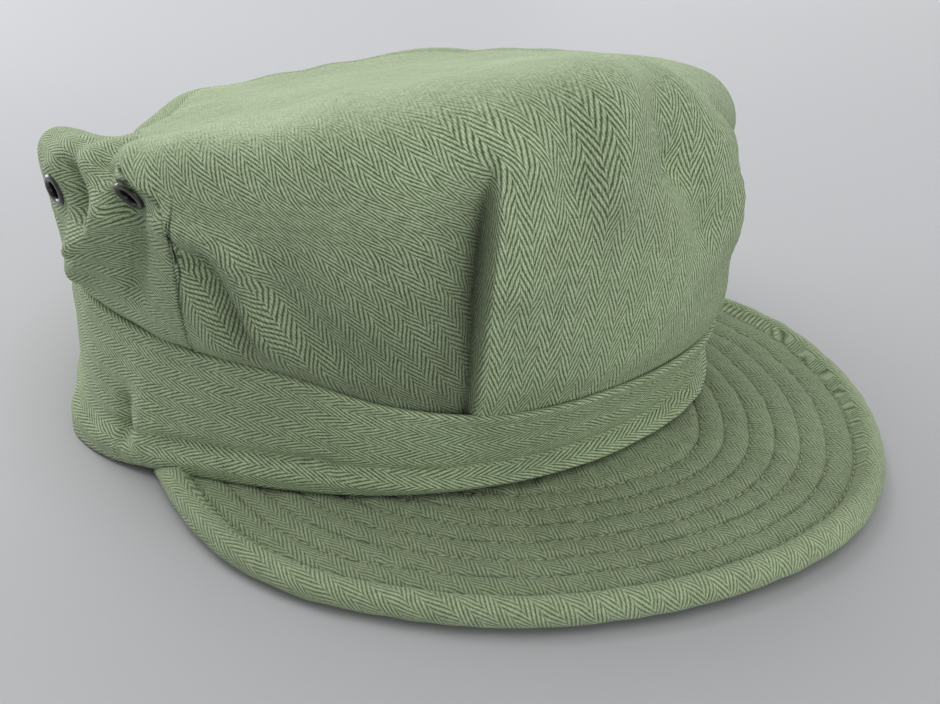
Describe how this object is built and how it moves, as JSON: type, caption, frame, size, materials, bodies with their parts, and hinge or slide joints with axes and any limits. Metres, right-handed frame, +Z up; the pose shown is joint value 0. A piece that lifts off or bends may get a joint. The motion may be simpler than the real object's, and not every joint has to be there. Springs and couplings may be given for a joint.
{
  "type": "peaked cap",
  "caption": "Soft peaked cap with a pleated crown, sloping soft top, sewn head band, quilted flat brim with a rolled rim, and metal vent eyelets.",
  "frame": {"origin": "centre of the bounding box on the surface that the cap rests on", "axes": "+Z up, the peak towards -Y, the wearer's left towards +X"},
  "size_m": [0.1959, 0.2634, 0.096],
  "materials": {
    "crown_cloth": "matt herringbone cotton twill, faded sage green",
    "band_cloth": "matt herringbone cotton twill with stitched edges",
    "brim_cloth": "matt herringbone cotton twill, quilted in rows of stitches",
    "eyelet_metal": "black enamel on brass, semi-gloss"
  },
  "bodies": {
    "root": {"crown_front_and_top": "crown_cloth", "crown_back_panel": "crown_cloth", "head_band": "band_cloth", "brim": "brim_cloth", "eyelet_right_front": "eyelet_metal", "eyelet_right_back": "eyelet_metal", "eyelet_left_front": "eyelet_metal", "eyelet_left_back": "eyelet_metal"}
  },
  "joints": []
}
